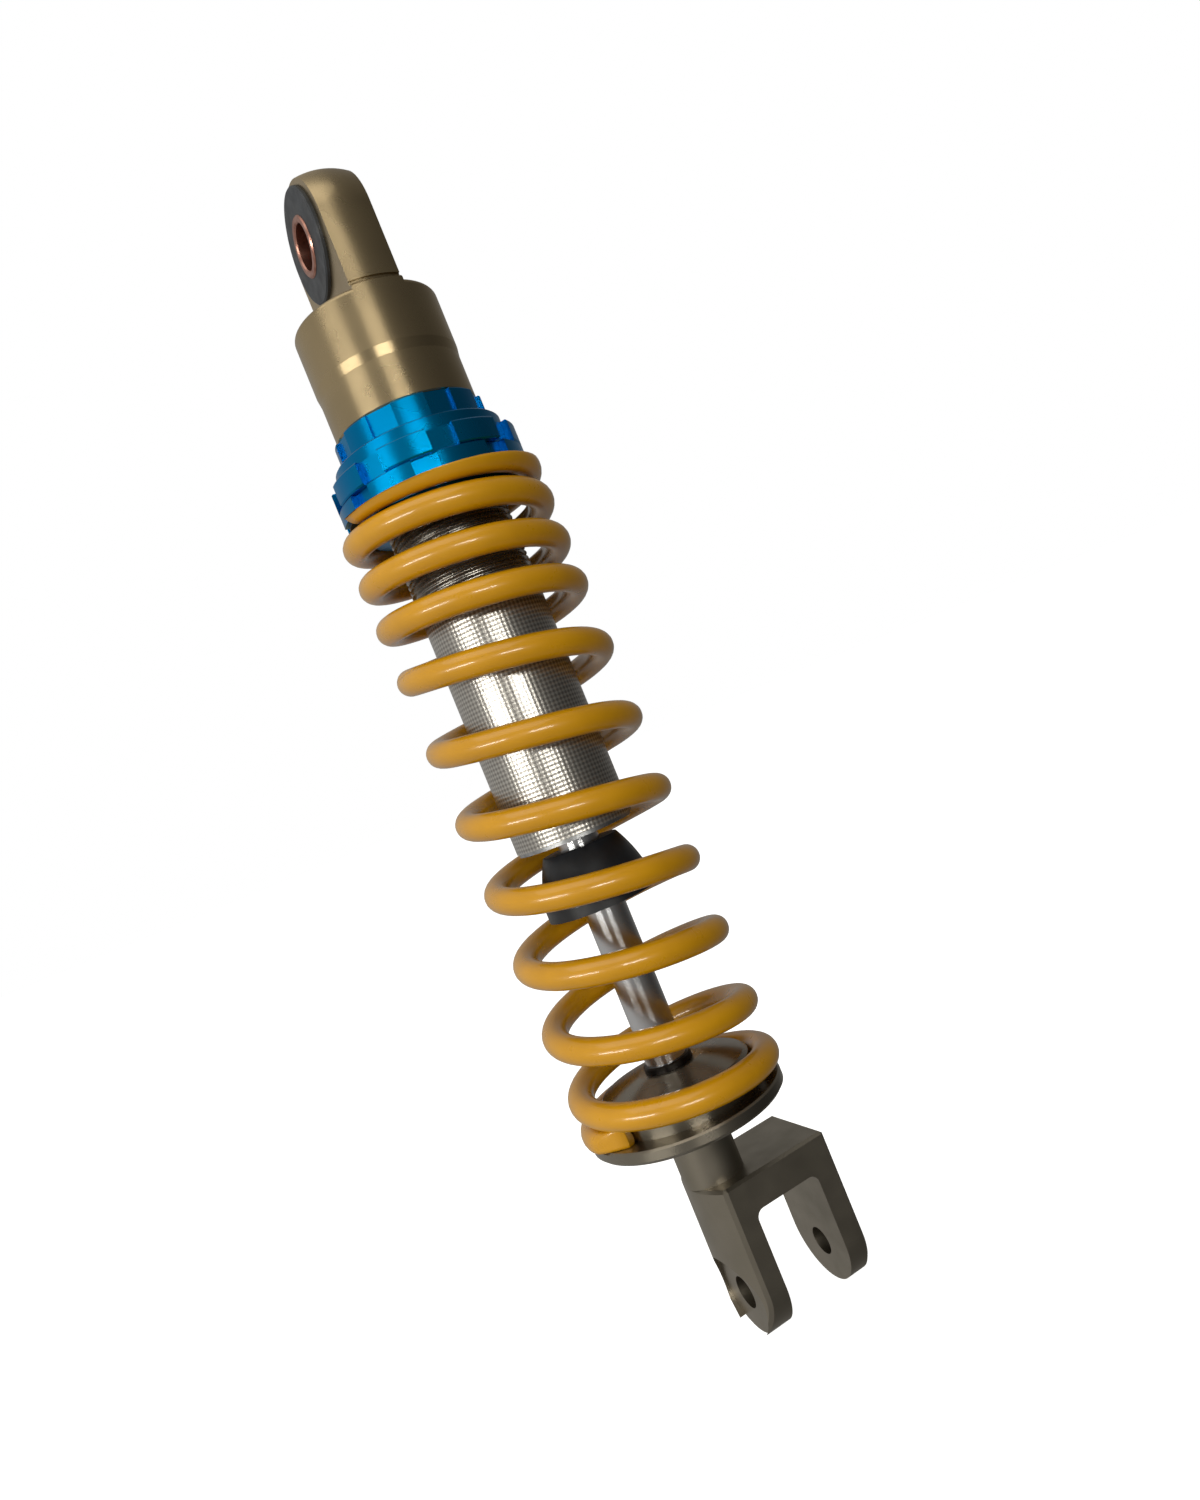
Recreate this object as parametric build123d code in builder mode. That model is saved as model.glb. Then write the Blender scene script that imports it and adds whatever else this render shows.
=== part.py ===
from build123d import *
import math
import os

os.makedirs("parts", exist_ok=True)

# Rear coil-over shock absorber of a scooter.
# Z is the damper axis with +Z up, the origin is the centre of the upper eye's bore,
# and X is the direction of both mounting bolts. Lengths are in millimetres.

# ---------------------------------------------------------------- fits and clearances
running_gap = 0.05  # radial gap of a part that turns or slides on another
thread_gap = 0.05  # radial gap that stands for a thread left plain
face_gap = 0.10  # between flat faces of parts that move past each other

# ---------------------------------------------------------------- head and upper eye
lug_thickness = 14.2  # across the two flats, along the bolt
dome_rise = 16.2  # from the bolt's centre up to the top of the lug
dome_flat = 2.8  # radius of the flat left on top of the dome
shoulder_drop = 22.3  # from the bolt's centre down to the head's shoulder
head_wall = 3.6  # over the tube's thread
head_length = 32.2
lug_inset = 0.8  # the lug is turned smaller than the head by this
rim_bevel = 0.6
relief_width = 1.0  # groove turned at the foot of the lug
relief_depth = 0.6
ledge_drop = 0.9  # the ledges milled beside the lug lie below the shoulder
ledge_round = 1.5
step_drop = 17.3  # from the shoulder down to the step
step_length = 2.8
skirt_inset = 0.4  # slightly smaller below the step
socket_depth = 20.0  # how far the tube screws into the head

sleeve_bore_radius = 6.0  # for the upper bolt
sleeve_wall = 2.0
sleeve_length = 17.6
bush_wall = 4.5  # rubber between the sleeve and the lug
bush_flange_width = 2.5  # how far its flanges reach over the lug's flats
bush_flange_thickness = 1.2

# ---------------------------------------------------------------- damper tube
tube_radius = 17.0  # over the thread
tube_wall = 3.0
thread_length = 53.0  # of bare thread below the head
wrap_length = 68.2  # of patterned film below the thread
film_thickness = 0.25
film_step = 0.3  # the tube is turned down by this under the film
o_ring_radius = 1.0  # section of the tube's two static O-rings
o_ring_drop = 4.0  # from the tube's top to its O-ring
clip_thickness = 1.2
clip_depth = 1.0  # how far the circlip reaches into the tube's wall
clip_width = 2.4  # radial width of the circlip
clip_rise = 3.5  # from the tube's end up to the circlip
cap_flange_thickness = 1.0
cap_plug_depth = 2.2
cap_inset = 0.6  # the cap's flange is smaller than the tube by this

# ---------------------------------------------------------------- gland at the tube's end
gland_length = 14.0
rod_seal_width = 4.5
rod_seal_length = 4.5
wiper_width = 4.0
wiper_length = 3.6
guide_bush_wall = 1.0

# ---------------------------------------------------------------- rod, piston and valves
rod_radius = 6.0
rod_spigot_step = 2.0  # down to the spigot for the piston and its valves
top_out_length = 8.0
top_out_wall = 3.5
piston_length = 14.0
piston_gap = 0.30  # piston to tube, closed by the band
band_length = 8.0
band_thickness = 1.5
piston_port_radius = 1.6
piston_port_circle = 8.2
piston_port_count = 6
shim_thickness = 0.40
shim_space = 0.02
shim_radii = (11.0, 9.0, 7.0)  # from the piston outwards
washer_thickness = 2.0
washer_radius = 6.5
nut_height = 6.0
nut_flat_radius = 6.5  # half of the size across flats
rod_tip = 1.5  # thread standing out of the nut

gas_piston_length = 12.0
gas_piston_drop = 17.5  # from the tube's top to the floating piston
gas_piston_cup = 8.0  # depth of its hollow

# ---------------------------------------------------------------- preload rings
ring_bevel = 0.4
ring_notches = 8
lock_hub_wall = 4.3  # over the tube's thread
lock_hub_length = 7.4
lock_hub_notch = 7.6
lock_hub_notch_depth = 1.4
lock_hub_turn = 53.5  # angle of its first notch about Z
lock_neck_wall = 7.0
lock_neck_length = 3.8
ring_overhang = 0.8  # past the centre of the spring's wire
ring_notch = 7.3
ring_notch_depth = 2.4
lock_flange_length = 6.1
lock_flange_turn = 40.0
preload_flange_length = 4.4
preload_flange_turn = 26.4
preload_pilot_length = 6.0  # inside the spring's first coil
thrust_washer_thickness = 0.6
thrust_washer_inset = 0.4  # short of the centre of the spring's wire

# ---------------------------------------------------------------- coil spring
wire_radius = 3.75
coil_radius = 26.0  # axis of the damper to the centre of the wire
spring_length = 178.6  # between its two ground faces
coil_start_angle = 194.0  # where the wire starts at the top, about Z
coil_turns = 11.03
tip_rise = 1.9  # centre of the wire above the top ground face, where it starts
end_lift = 1.6  # centre of the wire above the bottom ground face, where it ends
closed_pitch = 7.5
tight_pitch = 11.4
mid_pitch = 13.4
open_pitch = 21.0
closing_pitch = 12.4
closed_turns = 0.6
points_per_turn = 12
pilot_gap = 0.5  # spring to the spigots that centre it

# ---------------------------------------------------------------- lower seat
seat_pilot_height = 8.4
seat_crown_rise = 2.6  # of the shallow cone above the spigot
seat_crown_radius = 9.0
seat_overhang = 2.0  # past the centre of the spring's wire
seat_flange_thickness = 3.8
seat_bevel = 1.0

# ---------------------------------------------------------------- bump stop and rod collar
bump_stop_drop = 2.7  # from the tube's end cap
bump_stop_length = 17.1
bump_stop_top_radius = 10.8
bump_stop_radius = 15.6
bump_stop_rim = 3.0
bump_stop_swell = 0.7
collar_wall = 1.0
collar_length = 1.8
collar_bevel = 0.4

# ---------------------------------------------------------------- clevis
neck_radius = 8.7
neck_length = 17.7
rod_thread_step = 1.0  # down from the rod to its lower thread
rod_thread_length = 14.0
fork_depth = 26.8  # across the cheeks, along Y
fork_crest = 8.2  # from the damper axis to the left cheek's turned back
fork_back_radius = 24.0  # of that turned back
cheek_centre_rise = 2.2  # from the lower bolt up to the centre of the cheeks' round ends
fork_inner_left = 2.0
fork_gap = 20.6
right_cheek = 6.7
bridge_thickness = 9.2
bridge_to_bolt = 23.7  # from the underside of the bridge to the lower bolt
gap_round = 2.5
fork_edge = 0.8  # edges broken all round
spot_face_radius = 11.6
spot_face_depth = 3.8
clear_hole_radius = 4.5  # plain hole of the left cheek
tapped_hole_radius = 4.0  # threaded hole of the right cheek

# ---------------------------------------------------------------- radii that follow from the others
tube_bore = tube_radius - tube_wall
film_zone_radius = tube_radius - film_step
cap_flange_radius = tube_radius - cap_inset
head_radius = tube_radius + head_wall
lug_radius = head_radius - lug_inset
skirt_radius = head_radius - skirt_inset
sleeve_radius = sleeve_bore_radius + sleeve_wall
eye_bore_radius = sleeve_radius + bush_wall
bush_flange_radius = eye_bore_radius + bush_flange_width
lock_hub_radius = tube_radius + lock_hub_wall
lock_neck_radius = tube_radius + lock_neck_wall
ring_radius = coil_radius + ring_overhang
pilot_radius = coil_radius - wire_radius - pilot_gap
thrust_washer_radius = coil_radius - thrust_washer_inset
seat_flange_radius = coil_radius + seat_overhang
rod_seal_radius = rod_radius + rod_seal_width
wiper_radius = rod_radius + wiper_width
rod_spigot_radius = rod_radius - rod_spigot_step
top_out_radius = rod_radius + top_out_wall
rod_thread_radius = rod_radius - rod_thread_step
collar_radius = rod_radius + collar_wall

# ---------------------------------------------------------------- levels down the axis
head_top = -shoulder_drop
head_ledge = head_top - ledge_drop
head_bottom = head_top - head_length
tube_top = head_bottom + socket_depth
film_top = head_bottom - thread_length
tube_bottom = film_top - wrap_length
cap_bottom = tube_bottom - cap_flange_thickness
clip_bottom = tube_bottom + clip_rise
gland_bottom = clip_bottom + clip_thickness
gland_top = gland_bottom + gland_length

lock_top = head_bottom - face_gap
lock_neck_top = lock_top - lock_hub_length
lock_flange_top = lock_neck_top - lock_neck_length
lock_bottom = lock_flange_top - lock_flange_length
preload_top = lock_bottom - face_gap
preload_bottom = preload_top - preload_flange_length
washer_bottom = preload_bottom - thrust_washer_thickness
spring_top = washer_bottom - face_gap
spring_bottom = spring_top - spring_length

flange_top = spring_bottom - face_gap
seat_pilot_top = flange_top + seat_pilot_height
seat_top = seat_pilot_top + seat_crown_rise
seat_bottom = flange_top - seat_flange_thickness
collar_bottom = seat_top + face_gap
neck_top = seat_bottom - face_gap
fork_top = neck_top - neck_length
bridge_bottom = fork_top - bridge_thickness
lower_bolt = bridge_bottom - bridge_to_bolt
fork_right = fork_inner_left + fork_gap + right_cheek

rod_shoulder = gland_top + face_gap + top_out_length
shim_stack = len(shim_radii) * (shim_thickness + shim_space)
piston_bottom = rod_shoulder + shim_stack
piston_top = piston_bottom + piston_length
washer_seat = piston_top + shim_stack
nut_bottom = washer_seat + washer_thickness
nut_top = nut_bottom + nut_height
rod_top = nut_top + rod_tip


# ---------------------------------------------------------------- shared operations
def turned(*outline, mode=Mode.ADD):
    """Spin an outline of (radius, height) points about the damper axis."""
    with BuildSketch(Plane.XZ) as profile:
        with BuildLine():
            Polyline(*outline, close=True)
        make_face()
    revolve(profile.sketch, axis=Axis.Z, mode=mode)


def turned_about_bolt(*outline):
    """Spin an outline of (distance along the bolt, radius) points about the bolt."""
    with BuildSketch(Plane.XZ) as profile:
        with BuildLine():
            Polyline(*outline, close=True)
        make_face()
    revolve(profile.sketch, axis=Axis.X)


def ring(outer, inner, bottom, height):
    """A plain ring about the damper axis, from its bottom up."""
    with BuildSketch(Plane.XY.offset(bottom)) as section:
        Circle(outer)
        Circle(inner, mode=Mode.SUBTRACT)
    extrude(section.sketch, amount=height)


def o_ring(centre_radius, section_radius, height):
    """A round-section ring about the damper axis."""
    with BuildSketch(Plane.XZ) as section:
        with Locations((centre_radius, height)):
            Circle(section_radius)
    revolve(section.sketch, axis=Axis.Z)


def spanner_notches(floor, width, bottom, height, first_angle):
    """Mill flat-floored notches for a hook spanner into the rim of a ring."""
    with BuildSketch(Plane.XY.offset(bottom)) as section:
        with PolarLocations(floor, ring_notches, start_angle=first_angle):
            Rectangle(ring_radius, width, align=(Align.MIN, Align.CENTER))
    extrude(section.sketch, amount=height, mode=Mode.SUBTRACT)


def finish(part, name):
    """Name a finished piece and write it out."""
    part.label = name
    export_step(part, f"parts/{name}.step")


# ---------------------------------------------------------------- head with the upper lug
# The lug is turned with a domed end, then milled to a flat tongue across the eye;
# the body is turned below it.
lug_foot = head_ledge - ledge_round
with BuildPart() as head:
    with BuildSketch(Plane.XZ):
        with BuildLine():
            Polyline(
                (0, dome_rise),
                (lug_radius, dome_rise),
                (lug_radius, head_top + relief_width),
                (lug_radius - relief_depth, head_top + relief_width),
                (lug_radius - relief_depth, head_top),
                (head_radius - rim_bevel, head_top),
                (head_radius, head_top - rim_bevel),
                (head_radius, lug_foot),
                (0, lug_foot),
                close=True,
            )
        make_face()
        fillet(vertices().group_by(Axis.Y)[-1].sort_by(Axis.X)[-1], lug_radius - dome_flat)
    revolve(axis=Axis.Z)
    with BuildSketch(Plane.XY.offset(lug_foot)):
        Rectangle(lug_thickness, 3 * head_radius)
    extrude(amount=dome_rise - lug_foot, mode=Mode.INTERSECT)
    with BuildSketch(Plane.XZ):
        with BuildLine():
            Polyline(
                (0, head_ledge),
                (head_radius, head_ledge),
                (head_radius, head_top - step_drop),
                (skirt_radius, head_top - step_drop - step_length),
                (skirt_radius, head_bottom),
                (0, head_bottom),
                close=True,
            )
        make_face()
        fillet(vertices().group_by(Axis.Y)[-1].sort_by(Axis.X)[-1], ledge_round)
    revolve(axis=Axis.Z)
    with BuildSketch(Plane.YZ):
        Circle(eye_bore_radius)
    extrude(amount=lug_thickness, both=True, mode=Mode.SUBTRACT)
    with BuildSketch(Plane.XY.offset(head_bottom)):
        Circle(tube_radius + thread_gap)
    extrude(amount=socket_depth, mode=Mode.SUBTRACT)
    chamfer(faces().sort_by(Axis.Z)[0].edges(), ring_bevel)
finish(head.part, "head")

# ---------------------------------------------------------------- rubber bush and its steel sleeve
bush_face = lug_thickness / 2
with BuildPart() as eye_bush:
    turned_about_bolt(
        (-bush_face - bush_flange_thickness, sleeve_radius + running_gap),
        (-bush_face - bush_flange_thickness, bush_flange_radius - ring_bevel),
        (-bush_face - bush_flange_thickness + ring_bevel, bush_flange_radius),
        (-bush_face, bush_flange_radius),
        (-bush_face, eye_bore_radius),
        (bush_face, eye_bore_radius),
        (bush_face, bush_flange_radius),
        (bush_face + bush_flange_thickness - ring_bevel, bush_flange_radius),
        (bush_face + bush_flange_thickness, bush_flange_radius - ring_bevel),
        (bush_face + bush_flange_thickness, sleeve_radius + running_gap),
    )
finish(eye_bush.part, "eye_bush")

with BuildPart() as eye_sleeve:
    with BuildSketch(Plane.YZ):
        Circle(sleeve_radius)
        Circle(sleeve_bore_radius, mode=Mode.SUBTRACT)
    extrude(amount=sleeve_length / 2, both=True)
    chamfer(edges().filter_by(GeomType.CIRCLE), ring_bevel)
finish(eye_sleeve.part, "eye_sleeve")

# ---------------------------------------------------------------- damper tube and its film
clip_radius = tube_bore + clip_depth
with BuildPart() as damper_tube:
    turned(
        (tube_bore, tube_top),
        (tube_radius, tube_top),
        (tube_radius, film_top),
        (film_zone_radius, film_top),
        (film_zone_radius, tube_bottom),
        (tube_bore, tube_bottom),
        (tube_bore, clip_bottom),
        (clip_radius, clip_bottom),
        (clip_radius, clip_bottom + clip_thickness),
        (tube_bore, clip_bottom + clip_thickness),
    )
    o_ring_level = tube_top - o_ring_drop
    turned(
        (tube_radius + 1, o_ring_level + o_ring_radius),
        (tube_radius + 1, o_ring_level - o_ring_radius),
        (tube_radius - 2 * o_ring_radius, o_ring_level - o_ring_radius),
        (tube_radius - 2 * o_ring_radius, o_ring_level + o_ring_radius),
        mode=Mode.SUBTRACT,
    )
finish(damper_tube.part, "damper_tube")

with BuildPart() as tube_o_ring:
    o_ring(tube_radius - o_ring_radius, o_ring_radius, o_ring_level)
finish(tube_o_ring.part, "tube_o_ring")

with BuildPart() as tube_film:
    ring(film_zone_radius + film_thickness, film_zone_radius, tube_bottom, wrap_length)
finish(tube_film.part, "tube_film")

# ---------------------------------------------------------------- gland, seals and end cap
bush_radius = rod_radius + guide_bush_wall
gland_ring_level = (gland_bottom + gland_top) / 2
with BuildPart() as rod_gland:
    turned(
        (bush_radius, gland_top - rod_seal_length),
        (rod_seal_radius, gland_top - rod_seal_length),
        (rod_seal_radius, gland_top),
        (tube_bore, gland_top),
        (tube_bore, gland_ring_level + o_ring_radius),
        (tube_bore - 2 * o_ring_radius, gland_ring_level + o_ring_radius),
        (tube_bore - 2 * o_ring_radius, gland_ring_level - o_ring_radius),
        (tube_bore, gland_ring_level - o_ring_radius),
        (tube_bore, gland_bottom),
        (wiper_radius, gland_bottom),
        (wiper_radius, gland_bottom + wiper_length),
        (bush_radius, gland_bottom + wiper_length),
    )
finish(rod_gland.part, "rod_gland")

with BuildPart() as gland_o_ring:
    o_ring(tube_bore - o_ring_radius, o_ring_radius, gland_ring_level)
finish(gland_o_ring.part, "gland_o_ring")

guide_bush_bottom = gland_bottom + wiper_length
guide_bush_top = gland_top - rod_seal_length
with BuildPart() as guide_bush:
    ring(bush_radius, rod_radius + running_gap, guide_bush_bottom, guide_bush_top - guide_bush_bottom)
finish(guide_bush.part, "guide_bush")

with BuildPart() as rod_seal:
    turned(
        (rod_radius + running_gap, guide_bush_top),
        (rod_seal_radius, guide_bush_top),
        (rod_seal_radius, gland_top),
        (rod_seal_radius - 1.0, gland_top),
        (rod_radius + rod_seal_length / 2, guide_bush_top + rod_seal_length / 2),
        (rod_radius + 1.0, gland_top),
        (rod_radius + running_gap, gland_top),
    )
finish(rod_seal.part, "rod_seal")

with BuildPart() as rod_wiper:
    turned(
        (rod_radius + running_gap, gland_bottom),
        (rod_radius + 1.0, gland_bottom),
        (rod_radius + wiper_length / 2, gland_bottom + wiper_length / 2),
        (wiper_radius - 1.0, gland_bottom),
        (wiper_radius, gland_bottom),
        (wiper_radius, gland_bottom + wiper_length),
        (rod_radius + running_gap, gland_bottom + wiper_length),
    )
finish(rod_wiper.part, "rod_wiper")

# An internal circlip: a split ring with a lug at each side of the split.
clip_inner = clip_radius - clip_width
clip_lug_radius = 1.5
with BuildPart() as circlip:
    with BuildSketch(Plane.XY.offset(clip_bottom)):
        Circle(clip_radius)
        Circle(clip_inner, mode=Mode.SUBTRACT)
        with PolarLocations(clip_inner, 2, start_angle=-15, angular_range=30, endpoint=True):
            Circle(clip_lug_radius)
        Rectangle(2 * clip_radius, 2 * clip_lug_radius, align=(Align.MIN, Align.CENTER), mode=Mode.SUBTRACT)
        with PolarLocations(clip_inner, 2, start_angle=-15, angular_range=30, endpoint=True):
            Circle(clip_lug_radius / 2, mode=Mode.SUBTRACT)
    extrude(amount=clip_thickness)
finish(circlip.part, "circlip")

with BuildPart() as end_cap:
    turned(
        (rod_radius + 4 * running_gap, cap_bottom),
        (cap_flange_radius, cap_bottom),
        (cap_flange_radius, tube_bottom),
        (tube_bore, tube_bottom),
        (tube_bore, tube_bottom + cap_plug_depth),
        (rod_radius + 4 * running_gap, tube_bottom + cap_plug_depth),
    )
finish(end_cap.part, "end_cap")

# ---------------------------------------------------------------- floating piston of the gas chamber
gas_piston_top = tube_top - gas_piston_drop
gas_piston_radius = tube_bore - running_gap
gas_ring_level = gas_piston_top - gas_piston_length / 2
gas_wall = 3.0
with BuildPart() as gas_piston:
    turned(
        (0, gas_piston_top - gas_piston_cup),
        (gas_piston_radius - 2 * o_ring_radius - gas_wall, gas_piston_top - gas_piston_cup),
        (gas_piston_radius - 2 * o_ring_radius - gas_wall, gas_piston_top),
        (gas_piston_radius, gas_piston_top),
        (gas_piston_radius, gas_ring_level + o_ring_radius),
        (gas_piston_radius - 2 * o_ring_radius, gas_ring_level + o_ring_radius),
        (gas_piston_radius - 2 * o_ring_radius, gas_ring_level - o_ring_radius),
        (gas_piston_radius, gas_ring_level - o_ring_radius),
        (gas_piston_radius, gas_piston_top - gas_piston_length),
        (0, gas_piston_top - gas_piston_length),
    )
finish(gas_piston.part, "gas_piston")

with BuildPart() as gas_piston_o_ring:
    o_ring(gas_piston_radius - o_ring_radius, o_ring_radius, gas_ring_level)
finish(gas_piston_o_ring.part, "gas_piston_o_ring")

# ---------------------------------------------------------------- rod with piston and valves
rod_end = neck_top - rod_thread_length
with BuildPart() as piston_rod:
    turned(
        (0, rod_top),
        (rod_spigot_radius, rod_top),
        (rod_spigot_radius, rod_shoulder),
        (rod_radius, rod_shoulder),
        (rod_radius, neck_top),
        (rod_thread_radius, neck_top),
        (rod_thread_radius, rod_end),
        (0, rod_end),
    )
    chamfer(faces().sort_by(Axis.Z)[0].edges() + faces().sort_by(Axis.Z)[-1].edges(), ring_bevel)
finish(piston_rod.part, "piston_rod")

with BuildPart() as top_out_bumper:
    ring(top_out_radius, rod_radius, gland_top + face_gap, top_out_length)
    fillet(edges().group_by(Axis.Z)[0].sort_by(SortBy.RADIUS)[-1], ring_bevel)
finish(top_out_bumper.part, "top_out_bumper")


def shim_pile(first_face, direction):
    """Discs that shrink away from the piston and bend to let oil through."""
    for order, radius in enumerate(shim_radii):
        pitch = shim_thickness + shim_space
        near = first_face + direction * (order * pitch + shim_space)
        ring(radius, rod_spigot_radius, min(near, near + direction * shim_thickness), shim_thickness)


with BuildPart() as rebound_shims:
    shim_pile(piston_bottom, -1)
finish(rebound_shims.part, "rebound_shims")

with BuildPart() as compression_shims:
    shim_pile(piston_top, 1)
finish(compression_shims.part, "compression_shims")

piston_radius = tube_bore - piston_gap
band_bottom = (piston_bottom + piston_top - band_length) / 2
band_groove_radius = tube_bore - running_gap - band_thickness
with BuildPart() as damper_piston:
    turned(
        (rod_spigot_radius, piston_bottom),
        (piston_radius, piston_bottom),
        (piston_radius, band_bottom),
        (band_groove_radius, band_bottom),
        (band_groove_radius, band_bottom + band_length),
        (piston_radius, band_bottom + band_length),
        (piston_radius, piston_top),
        (rod_spigot_radius, piston_top),
    )
    with BuildSketch(Plane.XY.offset(piston_bottom)):
        with PolarLocations(piston_port_circle, piston_port_count):
            Circle(piston_port_radius)
    extrude(amount=piston_length, mode=Mode.SUBTRACT)
finish(damper_piston.part, "damper_piston")

with BuildPart() as piston_band:
    ring(band_groove_radius + band_thickness, band_groove_radius, band_bottom, band_length)
finish(piston_band.part, "piston_band")

with BuildPart() as valve_washer:
    ring(washer_radius, rod_spigot_radius, washer_seat, washer_thickness)
finish(valve_washer.part, "valve_washer")

with BuildPart() as piston_nut:
    with BuildSketch(Plane.XY.offset(nut_bottom)):
        RegularPolygon(nut_flat_radius, 6, major_radius=False)
        Circle(rod_spigot_radius, mode=Mode.SUBTRACT)
    extrude(amount=nut_height)
finish(piston_nut.part, "piston_nut")

# ---------------------------------------------------------------- preload rings and thrust washer
ring_bore = tube_radius + thread_gap
hub_floor = lock_hub_radius - lock_hub_notch_depth
ring_floor = ring_radius - ring_notch_depth
with BuildPart() as lock_ring:
    turned(
        (ring_bore, lock_top),
        (lock_hub_radius - ring_bevel, lock_top),
        (lock_hub_radius, lock_top - ring_bevel),
        (lock_hub_radius, lock_neck_top),
        (lock_neck_radius - ring_bevel, lock_neck_top),
        (lock_neck_radius, lock_neck_top - ring_bevel),
        (lock_neck_radius, lock_flange_top),
        (ring_radius - ring_bevel, lock_flange_top),
        (ring_radius, lock_flange_top - ring_bevel),
        (ring_radius, lock_bottom + ring_bevel),
        (ring_radius - ring_bevel, lock_bottom),
        (ring_bore, lock_bottom),
    )
    spanner_notches(hub_floor, lock_hub_notch, lock_neck_top, lock_hub_length, lock_hub_turn)
    spanner_notches(ring_floor, ring_notch, lock_bottom, lock_flange_length, lock_flange_turn)
finish(lock_ring.part, "lock_ring")

with BuildPart() as preload_ring:
    turned(
        (ring_bore, preload_top),
        (ring_radius - ring_bevel, preload_top),
        (ring_radius, preload_top - ring_bevel),
        (ring_radius, preload_bottom),
        (pilot_radius, preload_bottom),
        (pilot_radius, preload_bottom - preload_pilot_length + ring_bevel),
        (pilot_radius - ring_bevel, preload_bottom - preload_pilot_length),
        (ring_bore, preload_bottom - preload_pilot_length),
    )
    spanner_notches(ring_floor, ring_notch, preload_bottom, preload_flange_length, preload_flange_turn)
finish(preload_ring.part, "preload_ring")

with BuildPart() as thrust_washer:
    ring(thrust_washer_radius, pilot_radius + running_gap, washer_bottom, thrust_washer_thickness)
finish(thrust_washer.part, "thrust_washer")

# ---------------------------------------------------------------- coil spring
# Progressive, left-hand wound, with closed and ground ends. Each station is a turn
# counted from the top and the pitch there; the pitch runs evenly from one to the next,
# and the whole is fitted between the two ground faces.
pitch_stations = (
    (0.0, closed_pitch),
    (closed_turns, closed_pitch),
    (2 * closed_turns, tight_pitch),
    (3.5, mid_pitch),
    (3.9, open_pitch),
    (coil_turns - 1.8, open_pitch),
    (coil_turns - 0.8, closing_pitch),
    (coil_turns, 0.0),
)


def pitch_at(turn):
    """Pitch of the spring at a turn counted from its top end."""
    for (turn_a, pitch_a), (turn_b, pitch_b) in zip(pitch_stations, pitch_stations[1:]):
        if turn <= turn_b:
            return pitch_a + (pitch_b - pitch_a) * (turn - turn_a) / (turn_b - turn_a)
    return pitch_b


steps = round(coil_turns * points_per_turn)
drops = [0.0]
for step in range(steps):
    middle = (step + 0.5) * coil_turns / steps
    drops.append(drops[-1] + pitch_at(middle) * coil_turns / steps)
wire_start = spring_top + tip_rise
wire_drop = tip_rise + spring_length - end_lift
wire_points = []
for step, drop in enumerate(drops):
    angle = math.radians(coil_start_angle + 360 * coil_turns * step / steps)
    height = wire_start - wire_drop * drop / drops[-1]
    wire_points.append((coil_radius * math.cos(angle), coil_radius * math.sin(angle), height))

with BuildPart() as coil_spring:
    with BuildLine() as wire_line:
        Spline(*wire_points)
    with BuildSketch(Plane(origin=wire_line.line @ 0, z_dir=wire_line.line % 0)):
        Circle(wire_radius)
    sweep(path=wire_line.line, is_frenet=True)
    with BuildSketch(Plane.XY.offset(spring_top)):
        Circle(2 * coil_radius)
    extrude(amount=2 * wire_radius, mode=Mode.SUBTRACT)
    with BuildSketch(Plane.XY.offset(spring_bottom)):
        Circle(2 * coil_radius)
    extrude(amount=-2 * wire_radius, mode=Mode.SUBTRACT)
finish(coil_spring.part, "coil_spring")

# ---------------------------------------------------------------- lower spring seat
with BuildPart() as lower_seat:
    turned(
        (rod_radius + running_gap, seat_top),
        (seat_crown_radius, seat_top),
        (pilot_radius - seat_bevel, seat_pilot_top),
        (pilot_radius, seat_pilot_top - seat_bevel),
        (pilot_radius, flange_top),
        (seat_flange_radius - seat_bevel / 2, flange_top),
        (seat_flange_radius, flange_top - seat_bevel / 2),
        (seat_flange_radius, seat_bottom + seat_bevel),
        (seat_flange_radius - seat_bevel, seat_bottom),
        (rod_radius + running_gap, seat_bottom),
    )
finish(lower_seat.part, "lower_seat")

with BuildPart() as rod_collar:
    ring(collar_radius, rod_radius, collar_bottom, collar_length)
    chamfer(edges().group_by(Axis.Z)[-1].sort_by(SortBy.RADIUS)[-1], collar_bevel)
finish(rod_collar.part, "rod_collar")

# ---------------------------------------------------------------- bump stop
bump_stop_top = cap_bottom - bump_stop_drop
bump_stop_bottom = bump_stop_top - bump_stop_length
with BuildPart() as bump_stop:
    with BuildSketch(Plane.XZ):
        with BuildLine():
            inner = rod_radius + running_gap
            rim = bump_stop_bottom + bump_stop_rim
            side_middle = (
                (bump_stop_top_radius + bump_stop_radius) / 2 + bump_stop_swell,
                (bump_stop_top + rim) / 2,
            )
            ThreePointArc((bump_stop_top_radius, bump_stop_top), side_middle, (bump_stop_radius, rim))
            Polyline(
                (bump_stop_radius, rim),
                (bump_stop_radius, bump_stop_bottom),
                (inner, bump_stop_bottom),
                (inner, bump_stop_top),
                (bump_stop_top_radius, bump_stop_top),
            )
        make_face()
    revolve(axis=Axis.Z)
    fillet(edges().group_by(Axis.Z)[-1].sort_by(SortBy.RADIUS)[-1], ring_bevel)
finish(bump_stop.part, "bump_stop")

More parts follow.
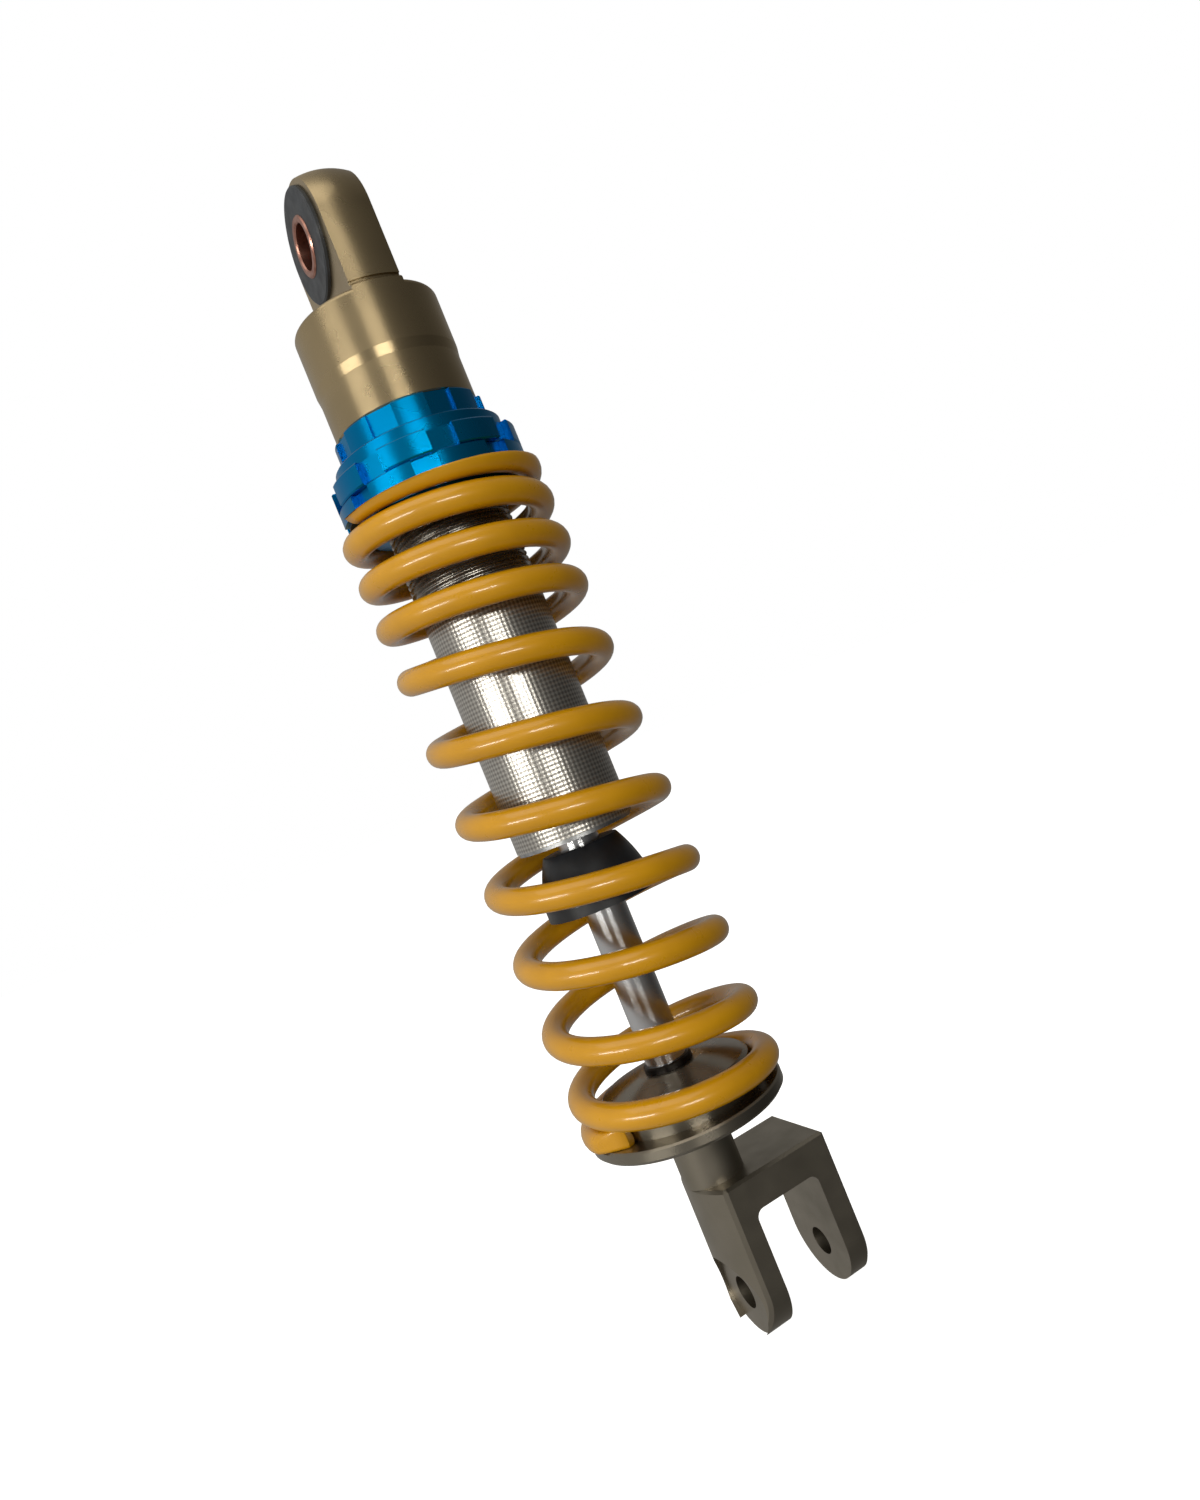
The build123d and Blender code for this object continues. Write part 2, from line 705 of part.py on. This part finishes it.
# ---------------------------------------------------------------- clevis
# A block turned about an axis off to the right gives the left cheek its curved back;
# the gap and the round ends of the cheeks are milled.
fork_height = fork_top - lower_bolt
with BuildPart() as clevis:
    with BuildSketch(Plane.YZ.offset(-fork_crest)):
        with Locations((0, fork_top)):
            Rectangle(fork_depth, fork_height - cheek_centre_rise, align=(Align.CENTER, Align.MAX))
        with Locations((0, lower_bolt + cheek_centre_rise)):
            Circle(fork_depth / 2)
    extrude(amount=fork_crest + fork_right)
    with BuildSketch(Plane.XY.offset(lower_bolt - fork_depth)):
        with Locations((fork_back_radius - fork_crest, 0)):
            Circle(fork_back_radius)
    extrude(amount=fork_height + fork_depth, mode=Mode.INTERSECT)
    chamfer(edges(), fork_edge)
    with BuildSketch(Plane.XZ):
        with Locations((fork_inner_left, bridge_bottom)):
            Rectangle(fork_gap, 2 * fork_height, align=(Align.MIN, Align.MAX))
        fillet(vertices().group_by(Axis.Y)[-1], gap_round)
    extrude(amount=fork_depth, both=True, mode=Mode.SUBTRACT)
    with BuildSketch(Plane.YZ.offset(-fork_crest)):
        with Locations((0, lower_bolt)):
            Circle(spot_face_radius)
    extrude(amount=spot_face_depth, mode=Mode.SUBTRACT)
    with BuildSketch(Plane.YZ.offset(-fork_crest)):
        with Locations((0, lower_bolt)):
            Circle(clear_hole_radius)
    extrude(amount=fork_crest + fork_inner_left + fork_gap / 2, mode=Mode.SUBTRACT)
    with BuildSketch(Plane.YZ.offset(fork_right)):
        with Locations((0, lower_bolt)):
            Circle(tapped_hole_radius)
    extrude(amount=-right_cheek - fork_gap / 2, mode=Mode.SUBTRACT)
    with BuildSketch(Plane.XY.offset(neck_top)):
        Circle(neck_radius)
    extrude(amount=-neck_length - face_gap)
    with BuildSketch(Plane.XY.offset(neck_top)):
        Circle(rod_thread_radius + thread_gap)
    extrude(amount=-rod_thread_length - ring_bevel, mode=Mode.SUBTRACT)
finish(clevis.part, "clevis")
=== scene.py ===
import bpy
import bmesh
import math
from mathutils import Matrix, Vector


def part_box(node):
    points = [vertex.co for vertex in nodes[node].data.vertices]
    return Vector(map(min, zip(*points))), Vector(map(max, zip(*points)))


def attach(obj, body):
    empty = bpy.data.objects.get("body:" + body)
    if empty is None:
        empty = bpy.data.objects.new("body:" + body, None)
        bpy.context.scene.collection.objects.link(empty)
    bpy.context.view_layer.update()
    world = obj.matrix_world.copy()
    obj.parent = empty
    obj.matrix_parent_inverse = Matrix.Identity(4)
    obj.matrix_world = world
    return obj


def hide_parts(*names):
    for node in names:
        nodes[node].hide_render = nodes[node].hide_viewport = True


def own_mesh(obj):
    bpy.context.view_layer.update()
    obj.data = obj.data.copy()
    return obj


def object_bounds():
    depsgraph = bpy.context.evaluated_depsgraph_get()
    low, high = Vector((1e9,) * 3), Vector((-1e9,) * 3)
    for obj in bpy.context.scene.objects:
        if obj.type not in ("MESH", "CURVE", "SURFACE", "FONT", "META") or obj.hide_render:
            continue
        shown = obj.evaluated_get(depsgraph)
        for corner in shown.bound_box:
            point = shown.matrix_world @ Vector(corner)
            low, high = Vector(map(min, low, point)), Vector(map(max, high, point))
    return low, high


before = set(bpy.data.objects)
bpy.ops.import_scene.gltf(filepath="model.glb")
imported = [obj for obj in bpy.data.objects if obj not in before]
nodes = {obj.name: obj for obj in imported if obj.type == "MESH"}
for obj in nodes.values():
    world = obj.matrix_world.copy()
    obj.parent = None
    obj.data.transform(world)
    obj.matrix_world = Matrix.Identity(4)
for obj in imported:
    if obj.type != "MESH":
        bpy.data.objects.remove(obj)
mm = 0.001
cad_box = [list(corner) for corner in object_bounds()]

# ------------------------------------------------------------------ head
# The cap of the damper, champagne-gold anodised aluminium: a turned body with a domed end that
# is milled to two flats for the eye. It screws onto the tube. Turning leaves rings finer than
# the eye can part, and they smear each lamp into a stripe along the axis.


def linear(sheet_colour):
    """An sRGB hex colour as linear red, green, blue and alpha."""
    parts = [int(sheet_colour[i : i + 2], 16) / 255 for i in (1, 3, 5)]
    return [c / 12.92 if c <= 0.04045 else ((c + 0.055) / 1.055) ** 2.4 for c in parts] + [1.0]


def add(tree, kind, inputs=None, **settings):
    """Add one shader node, set its options, and fill or link its inputs."""
    node = tree.nodes.new(kind)
    for option, value in settings.items():
        setattr(node, option, value)
    for socket, value in (inputs or {}).items():
        if isinstance(value, bpy.types.NodeSocket):
            tree.links.new(value, node.inputs[socket])
        else:
            node.inputs[socket].default_value = value
    return node


def new_finish(name):
    """An empty material, its node tree, and each point's place in the part's frame, in metres."""
    finish = bpy.data.materials.new(name)
    finish.use_nodes = True
    tree = finish.node_tree
    tree.nodes.clear()
    place = add(tree, "ShaderNodeTexCoord").outputs["Object"]
    return finish, tree, place


def close_finish(tree, **inputs):
    """End a material with one shader and its output."""
    named = {socket.replace("_", " "): value for socket, value in inputs.items()}
    if "Anisotropic" in named:
        named["Anisotropic Rotation"] = 0.25  # the stripe runs across the grooves
    shader = add(tree, "ShaderNodeBsdfPrincipled", named)
    add(tree, "ShaderNodeOutputMaterial", {"Surface": shader.outputs["BSDF"]})
    return shader


def varied(tree, place, size, low, high, detail=3.0):
    """A number that wanders between low and high in patches of a real size in metres."""
    noise = add(tree, "ShaderNodeTexNoise", {"Vector": place, "Scale": 1 / size, "Detail": detail})
    spread = add(
        tree,
        "ShaderNodeMapRange",
        {
            "Value": noise.outputs["Fac"],
            "From Min": 0.3,
            "From Max": 0.7,
            "To Min": low,
            "To Max": high,
        },
    )
    return spread.outputs["Result"]


def rough_skin(tree, height, strength, distance):
    """A normal that stands for relief of a real depth in metres."""
    settings = {"Height": height, "Strength": strength, "Distance": distance}
    return add(tree, "ShaderNodeBump", settings).outputs["Normal"]


def grain(tree, place, size, detail, **extra):
    """Noise whose cells have a real size in metres."""
    settings = {"Vector": place, "Scale": 1 / size, "Detail": detail, **extra}
    return add(tree, "ShaderNodeTexNoise", settings).outputs["Fac"]


def lathe_grooves(tree, place, groove, detail):
    """Rings about the axis, at random depths and about one groove apart, in metres."""
    height = add(tree, "ShaderNodeSeparateXYZ", {"Vector": place}).outputs["Z"]
    along = add(tree, "ShaderNodeMath", {0: height, 1: 1 / groove}, operation="MULTIPLY")
    settings = {"W": along.outputs[0], "Scale": 1.0, "Detail": detail}
    return add(tree, "ShaderNodeTexNoise", settings, noise_dimensions="1D").outputs["Fac"]


def tinted(tree, amount, first, second):
    """A colour between two, by an amount from 0 to 1."""
    mix = add(tree, "ShaderNodeMix", {"Factor": amount}, data_type="RGBA")
    mix.inputs[6].default_value = linear(first)
    mix.inputs[7].default_value = linear(second)
    return mix.outputs[2]


def turned_anodised(name, dye, worn_dye, roughness, groove=0.45 * mm):
    """Anodised aluminium off a lathe. The grooves are drawn at 0.45 mm, since real ones of
    0.05 mm are too fine to show."""
    finish, tree, place = new_finish(name)
    relief = rough_skin(tree, lathe_grooves(tree, place, groove, 4.0), 0.25, 0.004 * mm)
    tangent = add(tree, "ShaderNodeTangent", direction_type="RADIAL", axis="Z")
    close_finish(
        tree,
        Base_Color=tinted(tree, varied(tree, place, 18 * mm, 0.0, 1.0), dye, worn_dye),
        Metallic=1.0,
        Roughness=varied(tree, place, 9 * mm, roughness - 0.03, roughness + 0.04),
        Anisotropic=0.82,
        Tangent=tangent.outputs["Tangent"],
        Normal=relief,
    )
    return finish


def dress(finish, slot, *names):
    """Give CAD nodes a finish in place of their plain one."""
    for name in names:
        node = nodes[name]
        node.data.materials.clear()
        node.data.materials.append(finish)


gold = turned_anodised("champagne_gold_anodised_aluminium", "#B5A27E", "#AC9A78", 0.28)
dress(gold, "gold_anodised", "head")

# ------------------------------------------------------------------ eye bush
# A rubber bush pressed into the lug, with a flange each side, and a copper-toned plated steel
# sleeve through it that the bolt clamps. Moulded rubber is dull, with a faint bloom on its face.


def moulded_rubber(name, colour, bloom, roughness):
    """Moulded rubber: fine pimples of 0.4 mm and a patchy grey bloom."""
    finish, tree, place = new_finish(name)
    relief = rough_skin(tree, grain(tree, place, 0.4 * mm, 2.0), 0.3, 0.03 * mm)
    close_finish(
        tree,
        Base_Color=tinted(tree, varied(tree, place, 5 * mm, 0.0, 1.0), colour, bloom),
        Roughness=varied(tree, place, 3 * mm, roughness - 0.08, roughness + 0.08),
        Normal=relief,
    )
    return finish


bush_rubber = moulded_rubber("black_rubber_of_the_bush", "#23272C", "#33383E", 0.5)
dress(bush_rubber, "black_rubber", "eye_bush")


def drawn_metal(name, colour, stain, roughness, stain_size=2.5 * mm):
    """Plated or plain metal with light staining and fine scratches of 0.3 mm."""
    finish, tree, place = new_finish(name)
    relief = rough_skin(tree, grain(tree, place, 0.3 * mm, 3.0), 0.15, 0.01 * mm)
    close_finish(
        tree,
        Base_Color=tinted(tree, varied(tree, place, stain_size, 0.0, 1.0), colour, stain),
        Metallic=1.0,
        Roughness=varied(tree, place, stain_size, roughness - 0.06, roughness + 0.08),
        Normal=relief,
    )
    return finish


copper = drawn_metal("copper_plated_steel", "#C49484", "#9A6A5C", 0.33)
dress(copper, "copper_plated_steel", "eye_sleeve")

# ------------------------------------------------------------------ damper tube
# A steel tube with a cut thread of 1.5 mm pitch for the two rings; the plain lower part carries
# a silver film printed with a fine diamond weave. The thread is modelled, crest and root.
tube_low, tube_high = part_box("damper_tube")
film_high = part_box("tube_film")[1]
head_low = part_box("head")[0]
thread_pitch = 1.5 * mm
thread_depth = 0.85 * mm
tube_wall = 3.0 * mm
crest_radius = tube_high.x
film_thickness = 0.25 * mm
film_zone_radius = film_high.x - film_thickness
thread_hidden = 2 * mm  # how far the thread runs on inside the head
thread_form = ((0.0, 0.0), (0.12, 0.0), (0.50, 1.0), (0.62, 1.0))  # share of pitch, share of depth


def threaded_tube(columns=96):
    """The tube as one closed mesh. Each column of points is shifted along the helix, so that
    crest and root run as clean lines; the ends of the thread are cut flat."""
    low, high = film_high.z, head_low.z + thread_hidden
    turns = math.ceil((high - low) / thread_pitch) + 2
    mesh = bmesh.new()
    rows = []
    for column in range(columns + 1):
        angle = 2 * math.pi * column / columns
        lift = thread_pitch * (column / columns - 1)
        outline = [
            (crest_radius - tube_wall, tube_low.z),
            (film_zone_radius, tube_low.z),
            (film_zone_radius, low),
        ]
        for turn in range(turns):
            for share, rise in thread_form:
                height = low + lift + thread_pitch * (turn + share)
                radius = crest_radius - thread_depth * (1 - rise)
                outline.append((radius, min(max(height, low), high)))
        outline.append((crest_radius - tube_wall, high))
        across, aside = math.cos(angle), math.sin(angle)
        rows.append([mesh.verts.new((r * across, r * aside, z)) for r, z in outline])
    for left, right in zip(rows, rows[1:]):
        for k in range(len(left)):
            n = (k + 1) % len(left)
            mesh.faces.new((left[k], right[k], right[n], left[n]))
    bmesh.ops.remove_doubles(mesh, verts=mesh.verts, dist=0.001 * mm)
    bmesh.ops.recalc_face_normals(mesh, faces=mesh.faces)
    data = bpy.data.meshes.new("threaded_tube")
    mesh.to_mesh(data)
    mesh.free()
    return data


def place_piece(name, data, finish, slot, body, *replaced):
    """Put a mesh into the scene as a piece that rides on a body."""
    piece = bpy.data.objects.new(name, data)
    bpy.context.scene.collection.objects.link(piece)
    data.materials.append(finish)
    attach(piece, body)
    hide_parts(*replaced)
    return piece


bright_steel = drawn_metal("bright_turned_steel", "#B9B7B2", "#97948E", 0.25)
place_piece(
    "threaded_tube", threaded_tube(), bright_steel, "bare_tube", "damper_body", "damper_tube"
)


def woven_film(cells=88, cell_height=1.21 * mm):
    """Silver film with a diamond weave: 88 diamonds round the tube, 1.2 mm high, under a clear
    gloss layer. Each diamond is a little pillow, so its sides catch the lamps in turn."""
    finish, tree, place = new_finish("silver_woven_film")
    axes = add(tree, "ShaderNodeSeparateXYZ", {"Vector": place}).outputs
    swing = add(tree, "ShaderNodeMath", {0: axes["Y"], 1: axes["X"]}, operation="ARCTAN2")
    around = add(tree, "ShaderNodeMath", {0: swing.outputs[0], 1: cells / 2}, operation="MULTIPLY")
    rise = {0: axes["Z"], 1: math.pi / cell_height}
    upward = add(tree, "ShaderNodeMath", rise, operation="MULTIPLY")
    waves = []
    for operation in ("ADD", "SUBTRACT"):
        both = {0: around.outputs[0], 1: upward.outputs[0]}
        slant = add(tree, "ShaderNodeMath", both, operation=operation).outputs[0]
        waves.append(add(tree, "ShaderNodeMath", {0: slant}, operation="SINE").outputs[0])
    weave = add(tree, "ShaderNodeMath", {0: waves[0], 1: waves[1]}, operation="MULTIPLY").outputs[0]
    relief = rough_skin(tree, weave, 0.55, 0.05 * mm)
    dark = add(
        tree,
        "ShaderNodeMapRange",
        {"Value": weave, "From Min": -0.6, "From Max": 0.6, "To Min": 0.0, "To Max": 1.0},
    )
    close_finish(
        tree,
        Base_Color=tinted(tree, dark.outputs["Result"], "#8B8884", "#C2C0BA"),
        Metallic=0.9,
        Roughness=0.3,
        Coat_Weight=0.4,
        Coat_Roughness=0.08,
        Normal=relief,
    )
    return finish


dress(woven_film(), "weave_film", "tube_film")

# ------------------------------------------------------------------ pieces inside the tube
# Gland, seals, piston and valves: machined aluminium, sintered iron, zinc-plated and blued
# steel, nitrile rubber and bronze. Only the end cap shows, and the rest when it is taken apart.
aluminium = drawn_metal("machined_aluminium", "#C2C3C6", "#A9AAAD", 0.28)
dress(aluminium, "bare_aluminium", "rod_gland", "gas_piston")
zinc = drawn_metal("zinc_plated_steel", "#B4B6B8", "#8E9092", 0.3)
dress(zinc, "zinc_steel", "end_cap", "valve_washer", "piston_nut")
dress(
    drawn_metal("blued_spring_steel", "#5C6168", "#41454A", 0.3),
    "spring_steel",
    "circlip",
    "rebound_shims",
    "compression_shims",
)
sintered = drawn_metal("sintered_iron", "#77777A", "#5A5A5C", 0.5, 0.8 * mm)
dress(sintered, "sintered_iron", "damper_piston")
dress(drawn_metal("bronze_bearing", "#A9793F", "#8C6030", 0.35), "bronze", "guide_bush")
dress(
    moulded_rubber("nitrile_seal_rubber", "#141414", "#1E1E1E", 0.4),
    "seal_rubber",
    "tube_o_ring",
    "gland_o_ring",
    "rod_seal",
    "rod_wiper",
    "gas_piston_o_ring",
    "top_out_bumper",
)
dress(moulded_rubber("bronze_filled_ptfe", "#5B4A3A", "#4A3C2F", 0.55), "ptfe_band", "piston_band")

# ------------------------------------------------------------------ preload rings
# Two rings of blue anodised aluminium on the tube's thread: the upper locks, the lower carries
# the spring. Both have milled notches for a hook spanner. A thin nylon washer lies below.
blue = turned_anodised("blue_anodised_aluminium", "#008CC6", "#0080BC", 0.28)
dress(blue, "blue_anodised", "lock_ring", "preload_ring")
dress(moulded_rubber("black_nylon", "#202123", "#2A2B2D", 0.45), "black_nylon", "thrust_washer")

# ------------------------------------------------------------------ coil spring
# Spring steel of 7.5 mm, wound left-handed with close coils at the top and open ones below,
# ends ground flat, then powder-coated a glossy yellow. The coat has a faint orange peel.
spring_low, spring_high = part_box("coil_spring")
wire_radius = 3.75 * mm
coil_radius = 26.0 * mm
coil_start = math.radians(194.0)
coil_turns = 11.03
tip_rise = 1.9 * mm  # centre of the wire above the top ground face, where it starts
end_lift = 1.6 * mm  # centre of the wire above the bottom ground face, where it ends
pitch_stations = (
    (0.0, 7.5),
    (0.6, 7.5),
    (1.2, 11.4),
    (3.5, 13.4),
    (3.9, 21.0),
    (9.23, 21.0),
    (10.23, 12.4),
    (11.03, 0.0),
)
cut_length = 9 * mm  # of the slanted cut that ends the wire at the bottom
cut_low = -0.35  # where that cut ends, as a share of the wire's radius from its centre


def pitch_at(turn):
    """Pitch of the spring at a turn counted from its top end."""
    for (turn_a, pitch_a), (turn_b, pitch_b) in zip(pitch_stations, pitch_stations[1:]):
        if turn <= turn_b:
            return pitch_a + (pitch_b - pitch_a) * (turn - turn_a) / (turn_b - turn_a)
    return pitch_b


def wound_wire(steps_per_turn=60, sides=28):
    """The wire as a closed mesh, with its ends ground at the seats' planes."""
    steps = round(coil_turns * steps_per_turn)
    turn_step = coil_turns / steps
    drops = [0.0]
    for step in range(steps):
        drops.append(drops[-1] + pitch_at((step + 0.5) * turn_step))
    full_drop = tip_rise + spring_high.z - spring_low.z - end_lift
    mesh = bmesh.new()
    rings = []
    for step, drop in enumerate(drops):
        angle = coil_start + 2 * math.pi * step * turn_step
        radial = Vector((math.cos(angle), math.sin(angle), 0))
        ahead = Vector((-math.sin(angle), math.cos(angle), 0)) * coil_radius
        fall = full_drop * pitch_at(min(step * turn_step, coil_turns)) / drops[-1] / turn_step
        ahead.z = -fall / (2 * math.pi)
        side = ahead.normalized().cross(radial)
        centre = radial * coil_radius
        centre.z = spring_high.z + tip_rise - full_drop * drop / drops[-1]
        left = (steps - step) * 2 * math.pi * coil_radius * turn_step
        reach = wire_radius * min(1.0, cut_low + (1 - cut_low) * left / cut_length)
        ring = []
        for k in range(sides):
            turn = 2 * math.pi * k / sides
            out = min(wire_radius * math.cos(turn), reach)
            point = centre + radial * out + side * (wire_radius * math.sin(turn))
            point.z = min(max(point.z, spring_low.z), spring_high.z)
            ring.append(mesh.verts.new(point))
        rings.append(ring)
    for first, second in zip(rings, rings[1:]):
        for k in range(sides):
            n = (k + 1) % sides
            mesh.faces.new((first[k], second[k], second[n], first[n]))
    mesh.faces.new(rings[0])
    mesh.faces.new(list(reversed(rings[-1])))
    bmesh.ops.recalc_face_normals(mesh, faces=mesh.faces)
    return mesh


def wire_half(name, level, keep_upper):
    """The part of the wire above or below a level, closed where it is parted."""
    mesh = wound_wire()
    cut = bmesh.ops.bisect_plane(
        mesh,
        geom=mesh.verts[:] + mesh.edges[:] + mesh.faces[:],
        plane_co=(0, 0, level),
        plane_no=(0, 0, 1),
        clear_inner=keep_upper,
        clear_outer=not keep_upper,
    )
    open_edges = [e for e in cut["geom_cut"] if isinstance(e, bmesh.types.BMEdge)]
    bmesh.ops.holes_fill(mesh, edges=open_edges)
    for face in mesh.faces:
        face.smooth = True
    data = bpy.data.meshes.new(name)
    mesh.to_mesh(data)
    mesh.free()
    return data


def powder_coat():
    """Glossy powder coat: orange peel of 1.2 mm and a clear, smooth skin."""
    finish, tree, place = new_finish("yellow_powder_coat")
    relief = rough_skin(tree, grain(tree, place, 1.2 * mm, 1.0), 0.2, 0.02 * mm)
    close_finish(
        tree,
        Base_Color=tinted(tree, varied(tree, place, 14 * mm, 0.0, 1.0), "#D89C00", "#CC9200"),
        Roughness=varied(tree, place, 6 * mm, 0.26, 0.36),
        Coat_Weight=0.6,
        Coat_Roughness=0.07,
        Normal=relief,
    )
    return finish


# The spring is parted where the tight coils end, into an upper and a lower piece that meet at that
# level; both ride on the damper body.
spring_split = -120 * mm
yellow = powder_coat()
spring_halves = (
    ("spring_lower_coils", "stroke", False),
    ("spring_upper_coils", "preload_travel", True),
)
for name, joint, upper in spring_halves:
    wire = wire_half(name, spring_split, upper)
    half = place_piece(name, wire, yellow, "yellow_powder_coat", "damper_body", "coil_spring")
    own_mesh(half)

# ------------------------------------------------------------------ rod and bump stop
# A ground, hard-chromed rod with a black collar above the seat, and a moulded rubber bump stop
# that grips it below the tube.


def hard_chrome():
    """Hard chrome over ground steel: grinding rings, drawn 0.3 mm apart, smear what it
    mirrors into lines along the rod."""
    finish, tree, place = new_finish("hard_chrome")
    relief = rough_skin(tree, lathe_grooves(tree, place, 0.3 * mm, 3.0), 0.1, 0.002 * mm)
    tangent = add(tree, "ShaderNodeTangent", direction_type="RADIAL", axis="Z")
    close_finish(
        tree,
        Base_Color=linear("#D3D5D8"),
        Metallic=1.0,
        Roughness=varied(tree, place, 8 * mm, 0.14, 0.2),
        Anisotropic=0.9,
        Tangent=tangent.outputs["Tangent"],
        Normal=relief,
    )
    return finish


dress(hard_chrome(), "chrome_rod", "piston_rod")
dress(drawn_metal("black_oxide_steel", "#2C2B2A", "#3A3836", 0.35), "black_steel", "rod_collar")
dress(moulded_rubber("bump_stop_rubber", "#121417", "#1D2127", 0.38), "bump_rubber", "bump_stop")

# ------------------------------------------------------------------ seat and clevis
# The flanged seat that the spring stands on is turned; the clevis is milled from bar, with a
# turned back, one plain cheek and one tapped one. Both are anodised a warm titanium grey.
grey_turned = turned_anodised("titanium_grey_anodised_turned", "#979083", "#8B8578", 0.27)
dress(grey_turned, "grey_anodised", "lower_seat")


def milled_anodised(name, dye, worn_dye, roughness):
    """Anodised aluminium off a mill: cutter marks drawn 0.8 mm apart, tumbled soft."""
    finish, tree, place = new_finish(name)
    marks = grain(tree, place, 0.8 * mm, 4.0, Roughness=0.6)
    relief = rough_skin(tree, marks, 0.2, 0.012 * mm)
    close_finish(
        tree,
        Base_Color=tinted(tree, varied(tree, place, 12 * mm, 0.0, 1.0), dye, worn_dye),
        Metallic=1.0,
        Roughness=varied(tree, place, 6 * mm, roughness - 0.04, roughness + 0.05),
        Normal=relief,
    )
    return finish


grey_milled = milled_anodised("titanium_grey_anodised_milled", "#979083", "#8B8578", 0.36)
dress(grey_milled, "grey_anodised", "clevis")

# ------------------------------------------------------------------ floor, lights and camera
# A pale seamless floor under the part, two bar lamps, a ceiling panel and a soft room that is
# brighter to the left, and a camera level with the middle of the damper, turned and tipped.
box_low, box_high = (Vector(corner) for corner in cad_box)
middle = Vector((0, 0, (box_low.z + box_high.z) / 2))
view_turn = math.radians(23.0)
view_tip = math.radians(22.2)
camera_distance = 296.6 * mm  # from the damper's axis
camera_aside = 15.1 * mm
camera_height = -157.5 * mm
forward = Vector((math.sin(view_turn), math.cos(view_turn), 0))
rightward = Vector((math.cos(view_turn), -math.sin(view_turn), 0))
downward = Vector((0, 0, -1))

camera = bpy.data.cameras.new("camera")
camera.lens = 25.8
camera.sensor_width = 36.0
camera.clip_start = 0.01
camera_object = bpy.data.objects.new("camera", camera)
bpy.context.scene.collection.objects.link(camera_object)
picture_right = rightward * math.cos(view_tip) + downward * math.sin(view_tip)
picture_up = rightward * math.sin(view_tip) - downward * math.cos(view_tip)
turn = Matrix((picture_right, picture_up, -forward)).transposed().to_4x4()
spot = rightward * camera_aside - forward * camera_distance + Vector((0, 0, camera_height))
camera_object.matrix_world = Matrix.Translation(spot) @ turn
bpy.context.scene.camera = camera_object


def pale_floor():
    """Matt white paper that glows, so that it runs into the white room."""
    finish, tree, place = new_finish("white_paper")
    fleck = varied(tree, place, 30 * mm, 0.0, 1.0)
    matt = add(tree, "ShaderNodeBsdfDiffuse", {"Color": tinted(tree, fleck, "#F2F1EE", "#EDECE9")})
    glow = add(tree, "ShaderNodeEmission", {"Color": linear("#FFFFFF"), "Strength": 0.93})
    both = add(tree, "ShaderNodeAddShader", {0: matt.outputs[0], 1: glow.outputs[0]})
    add(tree, "ShaderNodeOutputMaterial", {"Surface": both.outputs[0]})
    return finish


floor_mesh = bpy.data.meshes.new("floor")
reach = 60.0  # metres each way, so that no edge is seen
corners = ((-1, -1), (1, -1), (1, 1), (-1, 1))
floor_mesh.from_pydata([(reach * x, reach * y, 0) for x, y in corners], [], [(0, 1, 2, 3)])
floor_mesh.materials.append(pale_floor())
floor = bpy.data.objects.new("floor", floor_mesh)
floor.location.z = box_low.z - 0.1 * mm
floor.visible_glossy = False
floor.visible_diffuse = False
floor.visible_shadow = False
bpy.context.scene.collection.objects.link(floor)


def lamp(name, azimuth, elevation, width, height, radiance, distance=1.2, warmth="#FFFBF2"):
    """A flat lamp that faces the middle of the part. Azimuth counts from the camera, to its
    right; width and height are angles seen from the part, in degrees."""
    light = bpy.data.lights.new(name, "AREA")
    light.shape = "RECTANGLE"
    light.size = 2 * distance * math.tan(math.radians(width / 2))
    light.size_y = 2 * distance * math.tan(math.radians(height / 2))
    light.energy = radiance * math.pi * light.size * light.size_y
    light.color = linear(warmth)[:3]
    swing, rise = math.radians(azimuth), math.radians(elevation)
    towards = -forward * math.cos(swing) + rightward * math.sin(swing)
    offset = towards * math.cos(rise) + Vector((0, 0, math.sin(rise)))
    lamp_object = bpy.data.objects.new(name, light)
    lamp_object.location = middle + offset * distance
    lamp_object.rotation_euler = (-offset).to_track_quat("-Z", "Y").to_euler()
    bpy.context.scene.collection.objects.link(lamp_object)


lamp("right_bar_lamp", 12, 6, 24, 5, 22)
lamp("left_bar_lamp", -42, 4, 32, 5, 22)
lamp("ceiling_panel", -20, 62, 60, 40, 1.0, 1.6)

world = bpy.data.worlds.new("soft_room")
bpy.context.scene.world = world
world.use_nodes = True
room = world.node_tree
room.nodes.clear()
bright_side = (-rightward * 0.9 + Vector((0, 0, 0.25))).normalized()
direction = add(room, "ShaderNodeTexCoord").outputs["Generated"]
facing = add(room, "ShaderNodeVectorMath", {0: direction, 1: bright_side}, operation="DOT_PRODUCT")
level = add(
    room,
    "ShaderNodeMapRange",
    {
        "Value": facing.outputs["Value"],
        "From Min": -1.0,
        "From Max": 1.0,
        "To Min": 0.05,
        "To Max": 0.55,
    },
)
wall_light = {"Color": linear("#F4F1EC"), "Strength": level.outputs["Result"]}
walls = add(room, "ShaderNodeBackground", wall_light)
paper = add(room, "ShaderNodeBackground", {"Color": linear("#FFFFFF"), "Strength": 1.0})
seen = add(room, "ShaderNodeLightPath").outputs["Is Camera Ray"]
mixed = add(room, "ShaderNodeMixShader", {0: seen, 1: walls.outputs[0], 2: paper.outputs[0]})
add(room, "ShaderNodeOutputWorld", {"Surface": mixed.outputs[0]})
bpy.context.scene.view_settings.view_transform = "Standard"
